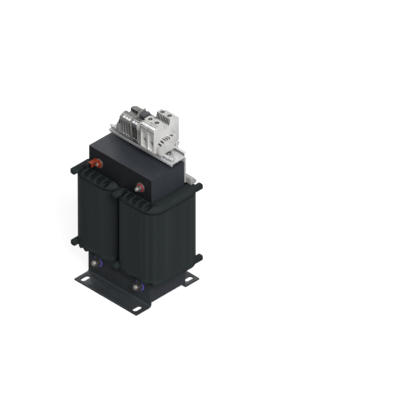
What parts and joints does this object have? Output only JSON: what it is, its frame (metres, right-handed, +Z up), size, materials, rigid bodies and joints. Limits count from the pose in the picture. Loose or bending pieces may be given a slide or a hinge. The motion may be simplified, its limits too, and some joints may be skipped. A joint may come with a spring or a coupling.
{
  "type": "electrical transformer",
  "caption": "Open dry-type single-phase transformer with coils on a two-limb laminated core, angle feet and a rail-mounted terminal strip above.",
  "frame": {"origin": "centre of the base, on the underside of the two feet", "axes": "+Z up along the limbs, +X along the width from one coil to the other, -Y towards the front with the bolt ends"},
  "size_m": [0.198, 0.152, 0.338],
  "materials": {
    "core_varnish": "dark resin varnish over stacked laminations",
    "bobbin_plastic": "black glass-filled moulding under varnish",
    "winding_copper": "enamelled copper wire",
    "insulation_paper": "interlayer film",
    "coil_wrap": "varnished outer wrap",
    "foot_paint": "black varnished steel sheet",
    "zinc_bolt": "zinc plated steel",
    "sleeve_tube": "insulating tube",
    "red_fibre": "red vulcanised fibre",
    "blue_fibre": "blue insulating washer",
    "lug_orange": "orange-red coated steel",
    "zinc_sheet": "pale zinc plated sheet",
    "terminal_grey": "mid grey polyamide",
    "terminal_dark": "dark grey polyamide",
    "terminal_light": "light grey polyamide",
    "plate_olive": "olive grey polyamide",
    "plug_dark": "dark grey polyamide",
    "terminal_metal": "nickel plated steel",
    "bar_metal": "tinned brass",
    "tag_white": "plain white marker"
  },
  "bodies": {
    "root": {"blue_insulating_washers": "blue_fibre", "contact_block": "terminal_light", "contact_block_screw": "terminal_metal", "core_i_stack": "core_varnish", "core_u_stack": "core_varnish", "cover_plate": "terminal_grey", "earth_lug": "lug_orange", "end_clamp_screws": "terminal_metal", "front_foot": "foot_paint", "fuse_plug_1": "plug_dark", "fuse_plug_2": "plug_dark", "fuse_terminal_1": "terminal_dark", "fuse_terminal_2": "terminal_dark", "hex_nuts": "zinc_bolt", "insulating_sleeves": "sleeve_tube", "large_clamp_cages": "terminal_metal", "large_clamp_screws": "terminal_metal", "large_current_bars": "bar_metal", "large_marker_tags": "tag_white", "large_terminal_1": "terminal_light", "large_terminal_2": "terminal_light", "left_bobbin": "bobbin_plastic", "left_end_clamp": "terminal_grey", "left_inner_winding": "winding_copper", "left_interlayer_insulation": "insulation_paper", "left_outer_winding": "winding_copper", "left_outer_wrap": "coil_wrap", "light_terminal": "terminal_light", "lower_bolts": "zinc_bolt", "middle_end_clamp": "terminal_light", "mounting_rail": "zinc_sheet", "partition_plate": "plate_olive", "rail_bracket": "zinc_sheet", "rail_screws": "terminal_metal", "rear_foot": "foot_paint", "red_insulating_washers": "red_fibre", "right_bobbin": "bobbin_plastic", "right_end_clamp": "terminal_light", "right_inner_winding": "winding_copper", "right_interlayer_insulation": "insulation_paper", "right_outer_winding": "winding_copper", "right_outer_wrap": "coil_wrap", "small_clamp_cages": "terminal_metal", "small_clamp_screws": "terminal_metal", "small_current_bars": "bar_metal", "small_marker_tags": "tag_white", "small_terminal_1": "terminal_grey", "small_terminal_2": "terminal_grey", "small_terminal_3": "terminal_grey", "small_terminal_4": "terminal_grey", "steel_washers": "zinc_bolt", "upper_bolts": "zinc_bolt"}
  },
  "joints": []
}
